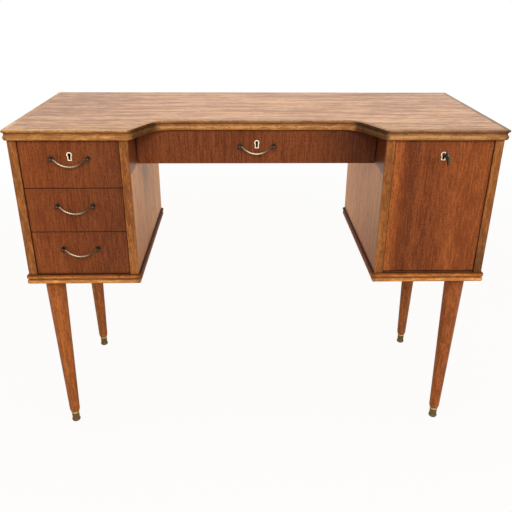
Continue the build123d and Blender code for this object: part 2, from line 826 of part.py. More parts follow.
def make_flap():
    """The fall flap of the right pedestal, on two pivot pins, with its lock and key."""
    x, y, backset = lock_places()["flap"]
    solid = cut_for_lock(flap_board(), x, y, front_top_z, backset)
    pins = []
    for bay_x, hand in ((bay_inner_x, -1), (bay_outer_x, 1)):
        side_end, flap_end = pivot_span(bay_x, hand)
        pins.append(rod_x((side_end, flap_end), pivot_y, pivot_z, pivot_radius))
        hole_xs = (side_end, flap_end - hand * stop_clearance)
        solid -= rod_x(hole_xs, pivot_y, pivot_z, pivot_radius + running_clearance)
    save("flap_panel", solid)
    save("flap_pivot_pins", *pins)
    make_lock("flap", x, y, front_top_z, backset)
    save("flap_key", key(x, y, front_top_z - backset))


make_top()
make_sides()
make_backs()
make_bases()
make_rails()
make_runners()
make_legs()
make_drawers()
make_flap()
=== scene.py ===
# %% [markdown]
# # A writing desk with drawers
# The desk is teak veneer on two pedestals, with golden hardwood mouldings, turned legs, aged
# brass fittings and cream keyhole plates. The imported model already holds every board, joint
# and fitting at its real size, so this script only dresses it: it gives each piece its finish,
# remakes the four handle bows, whose taper shows in close-up, and sets a plain studio round it.

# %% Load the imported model
import json
import math

import bpy
import numpy as np
from mathutils import Matrix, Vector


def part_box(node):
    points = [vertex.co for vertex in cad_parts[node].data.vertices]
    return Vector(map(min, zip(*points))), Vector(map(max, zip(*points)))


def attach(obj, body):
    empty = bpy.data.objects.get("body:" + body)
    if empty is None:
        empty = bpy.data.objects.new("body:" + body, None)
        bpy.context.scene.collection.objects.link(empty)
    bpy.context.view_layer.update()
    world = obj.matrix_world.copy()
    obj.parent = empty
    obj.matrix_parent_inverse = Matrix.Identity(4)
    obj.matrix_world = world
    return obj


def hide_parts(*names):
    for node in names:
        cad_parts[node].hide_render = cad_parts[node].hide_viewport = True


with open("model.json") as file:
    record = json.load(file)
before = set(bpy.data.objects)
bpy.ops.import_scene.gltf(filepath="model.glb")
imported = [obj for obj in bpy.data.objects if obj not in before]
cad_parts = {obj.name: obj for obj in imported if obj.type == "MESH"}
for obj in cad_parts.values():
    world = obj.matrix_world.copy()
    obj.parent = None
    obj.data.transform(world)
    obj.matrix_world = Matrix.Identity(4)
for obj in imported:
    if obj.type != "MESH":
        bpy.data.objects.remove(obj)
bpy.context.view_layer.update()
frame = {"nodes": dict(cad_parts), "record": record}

nodes = frame["nodes"]

# %% [markdown]
# ## The camera
# The photograph was taken by someone who stood in front of the desk and looked down at it. A
# camera can be aimed by eye, but here its place and its three turns were worked out from the
# corners, edges and feet of the desk, so they are written as they came: metres and radians.

# %% Camera
image_side = 512
focal_pixels = 601.65
sensor_width = 36.0
far_limit = 200.0
camera_place = (-0.0336, -1.3979, 1.0351)
camera_yaw = -0.0258
camera_pitch = -0.4348
camera_roll = -0.0058


def make_camera():
    """The aim is a roll about its own line, a pitch about X, then a yaw about Z.

    A camera looks along its own -Z axis, so a quarter turn about X points it at the horizon.
    """
    pitch = Matrix.Rotation(camera_pitch + math.pi / 2, 4, "X")
    aim = Matrix.Rotation(camera_yaw, 4, "Z") @ pitch @ Matrix.Rotation(-camera_roll, 4, "Z")
    data = bpy.data.cameras.new("camera")
    data.sensor_width = sensor_width
    data.lens = sensor_width * focal_pixels / image_side
    data.clip_end = far_limit
    made = bpy.data.objects.new("camera", data)
    bpy.context.scene.collection.objects.link(made)
    made.matrix_world = Matrix.Translation(camera_place) @ aim
    bpy.context.scene.camera = made
    return made


camera = make_camera()
bpy.context.scene.view_settings.view_transform = "Standard"
print("lens", round(camera.data.lens, 2), "mm")

# %% [markdown]
# ## Shader maths as Python
# A material is a graph of nodes. Building it link by link hides the idea, so one small class
# wraps a node's output and lets Python's own arithmetic make the Math nodes: `1 - mask` adds a
# Subtract node. Every other node comes from one method that takes its type, its settings and
# the values or links of its sockets.

# %% A socket with arithmetic


class Socket:
    """One output of a node. Arithmetic on it adds Math nodes to the same tree."""

    def __init__(self, tree, output=None):
        self.tree = tree
        self.output = output

    def node(self, kind, settings, values, output=0):
        """Add a node of a type: its settings first, then its sockets' values or links."""
        made = self.tree.nodes.new(kind)
        for name, setting in settings.items():
            setattr(made, name, setting)
        for key, value in values.items():
            socket = made.inputs[key]
            if isinstance(value, Socket):
                self.tree.links.new(value.output, socket)
            elif socket.type == "RGBA" and len(value) == 3:
                socket.default_value = (*value, 1.0)
            else:
                socket.default_value = value
        return Socket(self.tree, made.outputs[output]) if made.outputs else None

    def math(self, operation, first, second):
        return self.node("ShaderNodeMath", {"operation": operation}, {0: first, 1: second})

    def __add__(self, other):
        return self.math("ADD", self, other)

    def __sub__(self, other):
        return self.math("SUBTRACT", self, other)

    def __rsub__(self, other):
        return self.math("SUBTRACT", other, self)

    def __mul__(self, other):
        return self.math("MULTIPLY", self, other)

    __radd__ = __add__
    __rmul__ = __mul__

    def __abs__(self):
        return self.math("ABSOLUTE", self, 0.0)

    def largest(self, other):
        return self.math("MAXIMUM", self, other)

    def between(self, low, high):
        """0 below low, 1 above high, and a smooth step in between."""
        limits = {"Value": self, "From Min": low, "From Max": high}
        return self.node("ShaderNodeMapRange", {"interpolation_type": "SMOOTHSTEP"}, limits)

    def below(self, low, high):
        """1 below low, 0 above high, and a smooth step in between."""
        return 1.0 - self.between(low, high)

    def near(self, centre, full, none):
        """1 up to one distance from a centre, and 0 from a second distance on."""
        return abs(self - centre).below(full, none)

    def mix(self, first, second, mode="MIX"):
        """The first colour where this value is 0, and the second where it is 1."""
        settings = {"data_type": "RGBA", "blend_type": mode}
        return self.node("ShaderNodeMix", settings, {0: self, 6: first, 7: second}, 2)

    def tint(self, colour, factor):
        """A colour, times a factor where this value is 1."""
        return self.mix(colour, factor, "MULTIPLY")

    def mix_places(self, first, second):
        """The first vector where this value is 0, and the second where it is 1."""
        settings = {"data_type": "VECTOR"}
        return self.node("ShaderNodeMix", settings, {0: self, 4: first, 5: second}, 1)

    def part(self, axis):
        """One coordinate of a vector."""
        return self.node("ShaderNodeSeparateXYZ", {}, {0: self}, axis)

    def stretched(self, scale):
        """A vector times a scale on each axis."""
        return self.node("ShaderNodeVectorMath", {"operation": "MULTIPLY"}, {0: self, 1: scale})

    def noise(self, scale, detail=2.0, roughness=0.5, distortion=0.0):
        """Smooth noise from 0 to 1, with so many cells to the metre on each axis."""
        values = {"Vector": self.stretched(scale), "Scale": 1.0, "Detail": detail}
        values |= {"Roughness": roughness, "Distortion": distortion}
        return self.node("ShaderNodeTexNoise", {}, values)

    def streaks(self, along, across, **kind):
        """Noise drawn out along the grain, with so many cells to the metre along and across."""
        return self.noise((along, across, across), **kind)


def start_material(name):
    """An empty material, and a socket that adds nodes to it."""
    material = bpy.data.materials.new(name)
    material.use_nodes = True
    material.node_tree.nodes.clear()
    return material, Socket(material.node_tree)


def end_material(sheet, values):
    """The surface itself: one Principled shader with these values."""
    surface = sheet.node("ShaderNodeBsdfPrincipled", {}, values)
    sheet.node("ShaderNodeOutputMaterial", {}, {"Surface": surface})


def object_place(sheet):
    """The place on the desk, in metres. It stays with a piece when the piece moves."""
    return sheet.node("ShaderNodeTexCoord", {}, {}, "Object")


print("socket class ready")

# %% [markdown]
# ## Worn edges and dark hollows
# Hands wear the edges of an old desk pale, and polish and dust gather in its hollows. On the wood,
# the pale edges are partly a painted highlight, and the dark hollows are partly painted shade.
# Both could be painted on by hand. Here two nodes find them: Bevel gives the normal of a rounded
# copy, which leaves the true normal at an edge, and Ambient Occlusion tells where nearby
# surfaces hide the sky. The rounded normal also softens edges that the model has sharp.

# %% Worn edges and dark hollows
bevel_samples = {"samples": 6}
hollow_samples = {"samples": 8}
edge_turn = 0.01, 0.22


def wear_and_hollows(sheet, rounding, reach):
    """Masks of worn edges and of hollows, and a normal that rounds sharp edges. The hollow mask
    carries dirt, tarnish and painted shade.
    """
    soft = sheet.node("ShaderNodeBevel", bevel_samples, {"Radius": rounding})
    true = sheet.node("ShaderNodeNewGeometry", {}, {}, "Normal")
    facing = {0: soft, 1: true}
    along = sheet.node("ShaderNodeVectorMath", {"operation": "DOT_PRODUCT"}, facing, "Value")
    edge = (1.0 - along).between(*edge_turn)
    hidden = sheet.node("ShaderNodeAmbientOcclusion", hollow_samples, {"Distance": reach}, "AO")
    return edge, 1.0 - hidden, soft


print("edges wear from a turn of", round(math.degrees(math.acos(1.0 - edge_turn[0])), 1), "degrees")

# %% [markdown]
# ## Wood
# Teak veneer has tones at several sizes: slow clouds of red and gold, ribbons a finger wide,
# fine fibres, and dark pores a few millimetres long. Each is smooth noise that is stretched
# along the grain. An image could show this too, but it would have one size and one direction.
# The grain's direction comes from the order of the coordinates: along it, across it and deep.

# %% A board's grain
noise_middle = 0.5
cloud_noise = {"along": 3.0, "across": 9.0, "detail": 4.0, "roughness": 0.55, "distortion": 0.5}
ribbon_noise = {"along": 1.6, "detail": 5.0, "roughness": 0.62, "distortion": 0.25}
fibre_noise = {"along": 22.0, "across": 620.0, "detail": 3.0, "roughness": 0.6}
fleck_noise = {"detail": 3.0, "roughness": 0.6, "distortion": 0.15}
speck_noise = {"detail": 2.0, "roughness": 0.6, "distortion": 0.1}
pore_noise = {"along": 95.0, "across": 1500.0, "detail": 1.0}
vein_noise = {"along": 0.9, "across": 16.0, "detail": 3.0, "distortion": 0.9}
rub_noise = {"along": 9.0, "across": 60.0, "detail": 3.0}
pore_limits = 0.60, 0.74
dash_limits = 0.53, 0.70
rub_limits = 0.35, 0.7
vein_width = 0.035
wood_rounding = 0.0012
fibre_rough, pore_rough, rub_smooth = 0.10, 0.12, 0.06
fibre_height, pore_depth = 0.35, 0.9
grain_strength, grain_depth = 0.35, 0.00012


def grain_along(sheet, axis):
    """Object coordinates in the order along the grain, across it and into the wood."""
    place = object_place(sheet)
    order = ["XYZ".index(axis)] + [i for i in range(3) if i != "XYZ".index(axis)]
    return sheet.node("ShaderNodeCombineXYZ", {}, {i: place.part(a) for i, a in enumerate(order)})


def wood_values(sheet, grain, look, repaint):
    """Base colour, roughness and normal of wood. Wear, and dirt with painted shade, lie over the
    repainted grain.
    """
    clouds = grain.streaks(**cloud_noise)
    ribbons = grain.streaks(across=look["ribbons"], **ribbon_noise)
    fibres = grain.streaks(**fibre_noise)
    flecks = grain.streaks(*look["flecks"], **fleck_noise)
    specks = grain.streaks(*look["specks"], **speck_noise)
    pores = grain.streaks(**pore_noise).between(*pore_limits)
    layers = zip((clouds, ribbons, flecks, specks), look["shares"])
    figure = sum(layer * share for layer, share in layers)
    tone = figure.between(noise_middle - look["softness"], noise_middle + look["softness"])
    colour = tone.mix(look["deep"], look["pale"])
    veins = grain.streaks(**vein_noise).near(noise_middle, 0.0, vein_width) * look["veins"]
    dashes = specks.between(*dash_limits) * look["dashes"]
    colour = veins.largest(dashes).mix(colour, look["pore"])
    colour = (pores * look["pores"]).mix(colour, look["pore"])
    colour = repaint(sheet, colour) if repaint else colour
    edge, hollow, soft = wear_and_hollows(sheet, wood_rounding, look["reach"])
    # Paler edges: partly wear, partly a painted highlight.
    paler_places = edge * grain.streaks(**rub_noise).between(*rub_limits) * look["wear"]
    colour = paler_places.mix(colour, look["worn"])
    # Darker in the hollows: partly dirt, partly painted shade.
    dirt_and_shade = hollow.between(*look["hollows"]) * look["grime_and_shade"]
    colour = dirt_and_shade.mix(colour, look["dirt_and_shade"])
    rough = look["roughness"] + fibres * fibre_rough + pores * pore_rough - paler_places * rub_smooth
    height = fibres * fibre_height - pores * pore_depth
    relief = {"Strength": grain_strength, "Distance": grain_depth, "Height": height, "Normal": soft}
    return colour, rough, sheet.node("ShaderNodeBump", {}, relief)


def wood(name, look, axis=None, place=None, repaint=None):
    """A wood finish with its grain along one axis, or along a place worked out by the caller."""
    material, sheet = start_material(name)
    grain = place(sheet) if place else grain_along(sheet, axis)
    colour, rough, normal = wood_values(sheet, grain, look, repaint)
    values = {"Base Color": colour, "Roughness": rough, "Normal": normal}
    values["Specular IOR Level"] = look["gloss"]
    end_material(sheet, values)
    return material


print("pore noise in cells", round(1000.0 / pore_noise["along"], 1), "mm long")

# %% [markdown]
# ## Looks of the woods
# A look is one set of values: two tones and the dark of the pores, the size of ribbons, flecks
# and specks in cells to the metre, the share of each layer in the figure, and how worn, dirty,
# rough and glossy the wood is. Its pale edges are partly a painted highlight, and the dirt in its
# hollows is partly painted shade. The materials could each be built alone, but then a change to
# one would have to be made in all. So a look starts from another and names only what differs.

# %% Looks of the woods
front_look = {
    "pale": (0.240, 0.065, 0.0170), "deep": (0.116, 0.026, 0.0064), "pore": (0.040, 0.009, 0.004),
    "worn": (0.36, 0.14, 0.06), "dirt_and_shade": (0.030, 0.010, 0.005), "ribbons": 30.0,
    "flecks": (24.0, 330.0), "specks": (165.0, 500.0), "shares": (0.16, 0.16, 0.30, 0.38),
    "softness": 0.070, "dashes": 0.6, "veins": 0.10, "pores": 0.35, "reach": 0.010,
    "hollows": (0.12, 0.62), "wear": 0.35, "grime_and_shade": 0.5, "roughness": 0.40, "gloss": 0.14,
}
flap_look = front_look | {"softness": 0.050, "dashes": 0.8}
# The top's pale tones are partly faded wood and partly painted glare.
top_look = front_look | {
    "pale": (0.650, 0.362, 0.188), "deep": (0.345, 0.158, 0.075), "pore": (0.165, 0.060, 0.029),
    "worn": (0.62, 0.40, 0.22), "ribbons": 40.0, "flecks": (9.0, 92.0), "specks": (36.0, 200.0),
    "shares": (0.06, 0.20, 0.40, 0.34), "softness": 0.057, "dashes": 0.50, "veins": 0.30,
    "roughness": 0.36, "gloss": 0.33,
}
# The inner sides' pale tones are painted glare.
side_look = front_look | {
    "pale": (0.860, 0.395, 0.130), "deep": (0.480, 0.196, 0.058), "pore": (0.190, 0.066, 0.020),
    "flecks": (7.0, 100.0), "specks": (45.0, 260.0), "shares": (0.10, 0.10, 0.34, 0.46),
    "softness": 0.075, "dashes": 0.55, "veins": 0.15, "roughness": 0.34, "gloss": 0.5,
}
outer_look = front_look | {
    "pale": (0.380, 0.122, 0.029), "deep": (0.225, 0.063, 0.015), "flecks": (8.0, 110.0),
    "veins": 0.15,
}
moulding_look = front_look | {
    "pale": (0.560, 0.255, 0.070), "deep": (0.280, 0.100, 0.022), "pore": (0.085, 0.030, 0.010),
    "worn": (0.78, 0.48, 0.20), "dirt_and_shade": (0.035, 0.012, 0.004), "ribbons": 97.0,
    "flecks": (30.0, 150.0), "specks": (90.0, 330.0), "dashes": 0.7, "veins": 0.25,
    "reach": 0.014, "hollows": (0.06, 0.42), "wear": 0.6, "grime_and_shade": 0.85, "gloss": 0.2,
}
base_look = moulding_look | {"gloss": 0.08}
lipping_look = moulding_look | {
    "pale": (0.360, 0.133, 0.032), "deep": (0.165, 0.052, 0.010), "worn": (0.50, 0.24, 0.08),
    "specks": (100.0, 600.0), "softness": 0.06, "dashes": 0.4, "reach": 0.010,
    "hollows": (0.12, 0.62), "grime_and_shade": 0.7,
}
leg_look = lipping_look | {
    "pale": (0.430, 0.135, 0.028), "deep": (0.228, 0.062, 0.012), "pore": (0.100, 0.026, 0.008),
    "ribbons": 90.0, "dashes": 0.3, "wear": 0.3, "grime_and_shade": 0.4,
}
inside_look = front_look | {
    "pale": (0.560, 0.360, 0.190), "deep": (0.400, 0.230, 0.110), "pore": (0.230, 0.120, 0.055),
    "worn": (0.62, 0.44, 0.27), "dirt_and_shade": (0.12, 0.07, 0.035), "veins": 0.12, "roughness": 0.55,
    "gloss": 0.3,
}
back_look = inside_look | {
    "pale": (0.340, 0.170, 0.080), "deep": (0.210, 0.092, 0.040), "pore": (0.10, 0.04, 0.02),
}
print(len(front_look), "values in a look")

# %% [markdown]
# ## Which way the grain runs
# The top's grain runs from left to right, the fronts', sides' and legs' from top to bottom. A
# moulding's grain follows its own run, so the pieces round the ends turn theirs by a right
# angle. The change of direction is a step at the mitre, found from the piece's own box.

# %% Which way the grain runs
moulding_width = 0.009
mitre_blend = 0.0001
top_low, top_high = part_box("top_moulding")
base_low, base_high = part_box("base_mouldings")


def top_side_runs(sheet):
    """1 on the moulding of the top's two ends."""
    edge = top_high.x - moulding_width
    return abs(object_place(sheet).part(0)).between(edge, edge + mitre_blend)


def base_side_runs(sheet):
    """1 on the base mouldings behind the front ones."""
    edge = base_low.y + moulding_width
    return object_place(sheet).part(1).between(edge, edge + mitre_blend)


def run_grain(is_side):
    """Grain along X, and along Y where the mask of the side runs is 1."""

    def place(sheet):
        return is_side(sheet).mix_places(grain_along(sheet, "X"), grain_along(sheet, "Y"))

    return place


print("the top's moulding is", round(top_high.z - top_low.z, 4), "m high")

# %% [markdown]
# ## Uneven tones
# No two boards of an old desk have kept one colour. Light bleaches, hands and polish darken,
# and a stripe of the veneer runs on through several fronts. A painted picture would do, but it
# would fit one piece only. Here a tone is a mask worked out from the place on the desk, and a
# tint that multiplies the grain under it: above 1 is paler, and below 1 is darker.

# %% Masks and tints
half_blend = 0.01


def right_half(place):
    """1 on the right half of the desk."""
    return place.part(0).between(-half_blend, half_blend)


def rear_half(place):
    """1 on the rear half of the desk."""
    return place.part(1).between(-half_blend, half_blend)


def tinted(colour, tints, masks):
    """A colour times each tint, where the mask of the same name is 1."""
    for name, mask in masks.items():
        colour = mask.tint(colour, tints[name])
    return colour


print("halves blend over", 2000.0 * half_blend, "mm")

# %% [markdown]
# ## Tones of the top
# The top is the most faded board, and its pale tones also hold painted glare. Its front has
# turned to gold, its left end is darker behind that, and at both ends the polish has gone and
# the pores stand open.

# %% Tones of the top
left_end_x = -0.42, -0.14
left_end_depth = 0.05, 0.16
open_ends = 0.16, 0.34
open_noise = {"scale": (26.0, 115.0, 115.0), "detail": 3.0, "roughness": 0.6}
open_limits = 0.46, 0.66
open_share = 0.9
gold_depth = 0.0, 0.11
top_tints = {
    "left end": (0.88, 0.85, 0.82), "open pores": (0.68, 0.60, 0.54), "gold": (0.95, 0.94, 0.80),
}


def faded_top(sheet, colour):
    """The top's left end is darker, both ends have open pores, and the front is golden."""
    place = object_place(sheet)
    x, depth = place.part(0), place.part(1) - top_low.y
    pores = place.noise(**open_noise).between(*open_limits)
    return tinted(colour, top_tints, {
        "left end": x.below(*left_end_x) * depth.between(*left_end_depth),
        "open pores": abs(x).between(*open_ends) * pores * open_share,
        "gold": depth.below(*gold_depth),
    })


print(len(top_tints), "tones on the top")

# %% [markdown]
# ## Tones of the top's moulding
# The moulding is a rounded nose, a cove and a bead. Old polish and painted shade lie dark in the
# cove. Where the edge bends in towards the hollow it goes nearly black, and the runs at the ends
# are darker: partly old polish, with short grain at the bends, and partly painted shade on faces
# turned from the front. The left end gets painted light and the right end painted shade. The
# upper face is paler like the top, faded and with painted glare. The masks are read from the
# drop below that face, and from the place along the edge.

# %% Tones of the top's moulding
nose_drop = 0.0030, 0.0046
cove_drop = 0.0078, 0.0100
face_drop = 0.0001, 0.0005
edge_drop = 0.0003, 0.0009
left_fade = -0.32, -0.18
right_fade = 0.18, 0.32
nose_fade = -0.30, -0.10
cove_dirt_and_shade = (0.080, 0.028, 0.008)
cove_share = 0.55
bends = (-0.2337, 0.0215), (0.2370, 0.0275)
bend_blend = 0.006
moulding_tints = {
    "left": (1.18, 1.24, 1.20), "right": (0.88, 0.92, 1.05), "nose": (0.66, 0.64, 0.68),
    "side runs": (0.60, 0.52, 0.45), "bends": (0.27, 0.25, 0.23), "upper face": (1.15, 1.50, 2.60),
}


def along_bends(x):
    """1 along the two bends of the front edge."""
    left, right = [x.near(bend, half - bend_blend, half + bend_blend) for bend, half in bends]
    return left.largest(right)


def moulding_dirt_and_light(sheet, colour):
    """Dark polish and painted shade in the cove, on the side runs and on the bends, painted light
    and shade at the ends, and a paler upper face with painted glare.
    """
    place = object_place(sheet)
    x, drop = place.part(0), top_high.z - place.part(2)
    nose = drop.below(*nose_drop)
    cove = drop.below(*cove_drop) - nose
    edge = drop.between(*edge_drop)
    colour = tinted(colour, moulding_tints, {
        # Painted light on the left end and painted shade on the right end.
        "left": x.below(*left_fade),
        "right": x.between(*right_fade),
        "nose": nose * x.between(*nose_fade),
    })
    # Old polish and painted shade in the cove.
    colour = (cove * cove_share).mix(colour, cove_dirt_and_shade)
    return tinted(colour, moulding_tints, {
        # Side runs and bends darkened by polish and painted shade; the upper face paler with
        # painted glare.
        "side runs": top_side_runs(sheet) * edge,
        "bends": along_bends(x) * edge,
        "upper face": drop.below(*face_drop),
    })


print(len(moulding_tints), "tones and a dark cove on the top's moulding")

# %% [markdown]
# ## Tones of the base mouldings
# The base has two beads. The upper one is redder, with dark polish on its crest. The lower one
# is paler, with painted shade underneath. The right base is paler than the left one. The inner
# corners get painted shade, and the runs along the sides are darkened partly by polish and
# partly by painted shade.

# %% Tones of the base mouldings
bead_join = (base_low.z + base_high.z) / 2
join_blend = 0.0006
crest_drop = 0.0034, 0.0018
underside_rise = 0.0004, 0.0022
inner_corner_x = 0.2575
corner_reach = 0.003, 0.013
base_tints = {
    "right": (1.26, 1.31, 1.36), "upper bead": (0.98, 0.80, 0.66), "crest": (0.42, 0.34, 0.28),
    "lower bead": (1.26, 1.28, 1.30), "underside": (0.72, 0.70, 0.68), "corner": (0.55, 0.53, 0.51),
    "upper run": (0.30, 0.19, 0.11), "lower run": (0.62, 0.46, 0.28),
}


def bead_tones_and_shade(sheet, colour):
    """Two beads of different tone, a darker crest, painted shade underneath and in the corners, and
    side runs darkened by polish and painted shade.
    """
    place = object_place(sheet)
    x, z = place.part(0), place.part(2)
    upper = z.between(bead_join - join_blend, bead_join + join_blend)
    lower = 1.0 - upper
    runs = base_side_runs(sheet)
    return tinted(colour, base_tints, {
        "right": right_half(place),
        "upper bead": upper,
        "crest": z.between(*[base_high.z - drop for drop in crest_drop]),
        "lower bead": lower,
        # Painted shade under the lower bead and in the inner corners.
        "underside": z.below(*[base_low.z + rise for rise in underside_rise]),
        "corner": abs(x).near(inner_corner_x, *corner_reach) * (1.0 - runs),
        # The side runs: darker by polish and by painted shade.
        "upper run": runs * upper,
        "lower run": runs * lower,
    })


print(len(base_tints), "tones on the base mouldings")

# %% [markdown]
# ## Tones of the flap
# The flap's veneer has a pale strip of sapwood at its inner edge, a dark line of heartwood
# beside it and a paler outer half. Their borders sway a little, as a tree's rings do, so slow
# noise along the height shifts the place before the bands are cut from it.

# %% Tones of the flap
flap_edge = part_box("flap_panel")[0].x
sway_noise = {"scale": (0.0, 0.0, 5.0)}
sway_width = 0.008
sapwood = 0.012, 0.036
heart_middle = 0.050
heart_reach = 0.002, 0.014
outer_half = 0.085, 0.165
flap_tints = {
    "sapwood": (1.70, 1.88, 1.58), "outer half": (1.46, 1.54, 1.40), "heart": (0.84, 0.86, 0.90),
}


def flap_bands(sheet, colour):
    """A pale strip at the flap's inner edge, a dark line, then a paler half."""
    place = object_place(sheet)
    x = place.part(0) + place.noise(**sway_noise) * sway_width - flap_edge
    return tinted(colour, flap_tints, {
        "sapwood": x.below(*sapwood),
        "outer half": x.between(*outer_half),
        "heart": x.near(heart_middle, *heart_reach),
    })


print(len(flap_tints), "bands on the flap")

# %% [markdown]
# ## Tones of the drawer fronts
# The left fronts were cut from one sheet of veneer, so a stripe goes on from drawer to drawer:
# paler at the left edge, darker at the right one. The top drawer is a little paler than the two
# below it. The wide drawer is darker, and its right end, deep in the recess, is darker still
# with painted shade.

# %% Tones of the drawer fronts
left_low, left_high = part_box("middle_drawer_front")
upper_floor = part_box("upper_drawer_front")[0].z
centre_low, centre_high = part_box("centre_drawer_front")
front_gap = 0.01
drawer_gap = 0.002
pale_edge_width = 0.075
dark_side_start = 0.05
dark_end_start, dark_end_full = 0.17, 0.02
front_tints = {
    "upper": (1.10, 1.12, 1.08), "wide": (0.87, 0.89, 0.95), "pale edge": (1.16, 1.20, 1.15),
    "dark side": (0.78, 0.81, 0.95), "dark end": (0.58, 0.58, 0.62),
}


def matched_fronts(sheet, colour):
    """One stripe down the left fronts, a paler top drawer, and a darker wide one with painted shade
    at its right end.
    """
    place = object_place(sheet)
    x, z = place.part(0), place.part(2)
    past_left = x.between(left_high.x, left_high.x + front_gap)
    upper = z.between(upper_floor - drawer_gap, upper_floor)
    return tinted(colour, front_tints, {
        "upper": upper * (1.0 - past_left),
        "wide": abs(x).below(centre_high.x, centre_high.x + front_gap),
        "pale edge": x.below(left_low.x, left_low.x + pale_edge_width),
        "dark side": x.between(left_low.x + dark_side_start, left_high.x) - past_left,
        # Painted shade at the right end of the wide drawer, deep in the recess.
        "dark end": x.between(centre_high.x - dark_end_start, centre_high.x - dark_end_full),
    })


print(len(front_tints), "tones on the drawer fronts")

# %% [markdown]
# ## Tones of the inner sides
# The inner sides are seen at a glancing angle, and their pale tones are painted glare. Faint
# streaks and a paler rear are painted reflection, and a soft, wandering band of painted
# reflection is darker, mostly on the left. The right side is darker towards its front and both
# are darker below, as painted shade, and the strip beside the wide drawer, under the top, is
# painted dark as shade.

# %% Tones of the inner sides
side_low, side_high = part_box("left_inner_side")
drawer_floor = centre_low.z
streak_noise = {"scale": (0.0, 15.0, 1.4), "detail": 5.0, "roughness": 0.6}
streak_limits = 0.38, 0.66
streak_share = 0.4
wander_noise = {"scale": (0.0, 0.0, 9.0)}
wander_width = 0.06
band_y = (side_low.y + side_high.y) / 2 - wander_width
band_reach = 0.010, 0.075
band_drop = 0.17, 0.02
band_loss = 0.7
rear_start, rear_full = 0.03, 0.04
low_height = 0.26
low_loss = 0.9
strip_drop, strip_rise = 0.006, 0.004
# Painted reflection and painted shade on the inner sides.
side_tints = {
    "streaks": (0.82, 0.79, 0.74), "low end": (0.58, 0.46, 0.28), "rear": (1.12, 1.14, 1.14),
    "band": (0.50, 0.50, 0.48), "right front": (0.68, 0.64, 0.60), "strip": (0.25, 0.135, 0.08),
}


def side_glare_and_shade(sheet, colour):
    """Painted reflection in faint streaks, a pale rear and a dark band, and painted shade on the
    low end, the right front and the strip.
    """
    place = object_place(sheet)
    y, z = place.part(1), place.part(2)
    right = right_half(place)
    middle = place.noise(**wander_noise) * wander_width + band_y
    rear = y.between(middle - rear_start, side_high.y - rear_full)
    low_end = z.below(side_low.z, side_low.z + low_height)
    under_drawer = z.between(*[drawer_floor - drop for drop in band_drop])
    return tinted(colour, side_tints, {
        "streaks": place.noise(**streak_noise).between(*streak_limits) * streak_share,
        "low end": low_end * (1.0 - rear * low_loss),
        "rear": rear,
        "band": y.near(middle, *band_reach) * under_drawer * (1.0 - right * band_loss),
        "right front": right * y.below(side_low.y, middle),
        "strip": z.between(drawer_floor - strip_drop, drawer_floor + strip_rise),
    })


print(len(side_tints), "tones on the inner sides")

# %% [markdown]
# ## Tones of the stiles and legs
# The pale lippings are alike but for the right outer one, which has painted shade at its lower
# end. The legs on the right are from darker wood, and the two at the rear are painted paler as
# painted light.

# %% Tones of the stiles and legs
outer_stile_x = 0.48, 0.485
dark_height = 0.12
stile_shade_tint = (0.52, 0.54, 0.60)
# The rear legs' tint is painted light.
leg_tints = {"right": (0.82, 0.79, 0.86), "rear": (1.10, 1.24, 1.50)}


def stile_shade(sheet, colour):
    """Painted shade on the lower end of the right outer stile."""
    place = object_place(sheet)
    low_end = place.part(2).below(side_low.z, side_low.z + dark_height)
    return (place.part(0).between(*outer_stile_x) * low_end).tint(colour, stile_shade_tint)


def leg_tones(sheet, colour):
    """The legs on the right are darker, and the rear ones are painted paler: painted light."""
    place = object_place(sheet)
    return tinted(colour, leg_tints, {"right": right_half(place), "rear": rear_half(place)})


print(len(leg_tints), "tones on the legs")

# %% [markdown]
# ## Wood finishes
# A finish joins a look, the way its grain runs and its tones. They are kept in one table by
# name, so that the pieces can be dressed from it later.

# %% Wood finishes
woods = {
    "top_veneer": {"look": top_look, "axis": "X", "repaint": faded_top},
    "front_veneer": {"look": front_look, "axis": "Z", "repaint": matched_fronts},
    "flap_veneer": {"look": flap_look, "axis": "Z", "repaint": flap_bands},
    "side_veneer": {"look": outer_look, "axis": "Z"},
    "inner_side_veneer": {"look": side_look, "axis": "Z", "repaint": side_glare_and_shade},
    "rail_veneer": {"look": outer_look, "axis": "X"},
    "top_moulding": {
        "look": moulding_look, "place": run_grain(top_side_runs), "repaint": moulding_dirt_and_light,
    },
    "base_moulding": {
        "look": base_look, "place": run_grain(base_side_runs), "repaint": bead_tones_and_shade,
    },
    "lipping": {"look": lipping_look, "axis": "Z", "repaint": stile_shade},
    "leg_wood": {"look": leg_look, "axis": "Z", "repaint": leg_tones},
    "base_wood": {"look": back_look, "axis": "Y"},
    "carcass_wood": {"look": inside_look, "axis": "X"},
    "runner_wood": {"look": inside_look, "axis": "Y"},
    "drawer_side_wood": {"look": inside_look, "axis": "Y"},
    "drawer_back_wood": {"look": inside_look, "axis": "X"},
    "back_plywood": {"look": back_look, "axis": "Z"},
}
finishes = {name: wood(name, **values) for name, values in woods.items()}
print(len(finishes), "wood finishes")

# %% [markdown]
# ## Metal
# The brass has lost its shine: dark olive in the hollows, and paler in the middle of each bow,
# partly where hands rub it and partly a painted highlight, shifted left. The ferrules are paler
# at the lip. The key and the locks are dark steel; the locks are nearly black, as painted shade
# inside the keyholes. One function makes them all: tarnish is clouds of noise and the dirt of
# hollows, less the edges, and it picks between a bright and a dull colour.

